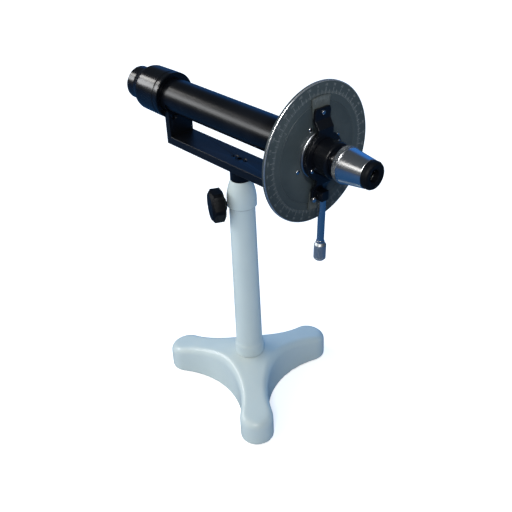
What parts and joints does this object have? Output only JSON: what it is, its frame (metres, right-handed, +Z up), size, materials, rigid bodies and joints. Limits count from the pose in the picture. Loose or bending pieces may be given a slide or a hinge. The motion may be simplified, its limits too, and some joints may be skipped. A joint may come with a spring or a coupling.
{
  "type": "polarimeter",
  "caption": "Bench polarimeter on a tripod stand, with a covered sample tube, a round degree scale with verniers, a turning handle and a telescope eyepiece.",
  "frame": {"origin": "on the table plane, on the vertical axis of the column", "axes": "+Z up, +X along the optical axis towards the eyepiece, +Y to the left of somebody who looks along +X"},
  "size_m": [0.3815, 0.2032, 0.459],
  "materials": {
    "grey_paint": "gloss",
    "black_paint": "gloss",
    "dark_satin_paint": "satin",
    "bright_chrome": "polished",
    "steel": "brushed",
    "brass": "machined",
    "black_plastic": "matt",
    "rubber": "matt",
    "optical_glass": "polished",
    "white_marked_metal": "satin"
  },
  "bodies": {
    "stand": {"tripod_base": "grey_paint", "foot_pads": "rubber", "column": "grey_paint", "column_washer": "steel", "column_nut": "steel", "column_collar": "grey_paint"},
    "clamp_tip": {"clamp_pad": "brass"},
    "clamp": {"clamp_screw": "steel", "clamp_knob": "black_plastic"},
    "pillar": {"post": "steel", "swivel_screw": "steel"},
    "head": {"swivel_boss": "black_paint", "boss_screws": "steel", "frame_bar": "black_paint", "upright_screws": "steel", "front_flange": "black_paint", "polariser_housing": "black_paint", "rear_cap": "black_paint", "collimator_lens": "optical_glass", "lens_ring": "brass", "polariser_mount": "brass", "polariser_prism": "optical_glass", "half_shade_cell": "brass", "half_shade_plates": "optical_glass", "rear_stop": "brass", "sample_trough": "black_paint", "sample_glass": "optical_glass", "sample_windows": "optical_glass", "sample_washers": "rubber", "sample_caps": "brass", "scale_disc": "dark_satin_paint", "disc_screws": "bright_chrome", "hub_ring": "white_marked_metal"},
    "cover": {"cover_sleeve": "black_paint"},
    "analyser": {"spacer_ring": "black_paint", "bright_ring": "bright_chrome", "vernier_arm": "dark_satin_paint", "vernier_plates": "dark_satin_paint", "vernier_screws": "bright_chrome", "carrier_screws": "bright_chrome", "analyser_spindle": "brass", "spindle_retainer": "brass", "analyser_mount": "brass", "analyser_prism": "optical_glass", "objective_lens": "optical_glass", "analyser_drum": "black_paint", "handle_block": "black_paint", "handle_rod": "bright_chrome", "handle_collar": "bright_chrome", "handle_grip": "steel", "telescope_tube": "bright_chrome"},
    "eyepiece": {"eyepiece_sleeve": "bright_chrome", "focus_ring": "bright_chrome", "field_ring": "brass", "field_lens": "optical_glass", "eyecup": "black_plastic", "eye_lens": "optical_glass"}
  },
  "joints": [
    {"name": "clamp_travel", "type": "slide", "parent": "stand", "child": "clamp_tip", "axis": [-0.4695, -0.8829, 0], "range_m": [0, 0.0015]},
    {"name": "clamp_turn", "type": "hinge", "parent": "clamp_tip", "child": "clamp", "pos_m": [0, 0, 0.282], "axis": [-0.4695, -0.8829, 0], "range_deg": [0, 432]},
    {"name": "post_lift", "type": "slide", "parent": "stand", "child": "pillar", "axis": [0, 0, 1], "range_m": [0, 0.04]},
    {"name": "head_swivel", "type": "hinge", "parent": "pillar", "child": "head", "pos_m": [0, 0, 0.312], "axis": [0, 0, 1], "continuous": true},
    {"name": "cover_turn", "type": "hinge", "parent": "head", "child": "cover", "pos_m": [0, 0, 0.384], "axis": [1, 0, 0], "range_deg": [0, 180]},
    {"name": "analyser_turn", "type": "hinge", "parent": "head", "child": "analyser", "pos_m": [0.12, 0, 0.384], "axis": [1, 0, 0], "continuous": true},
    {"name": "eyepiece_focus", "type": "slide", "parent": "analyser", "child": "eyepiece", "axis": [1, 0, 0], "range_m": [-0.006, 0.008]}
  ],
  "couplings": [
    {"joint": "clamp_travel", "follows": "clamp_turn", "m_per_rad": 0.00019894}
  ]
}
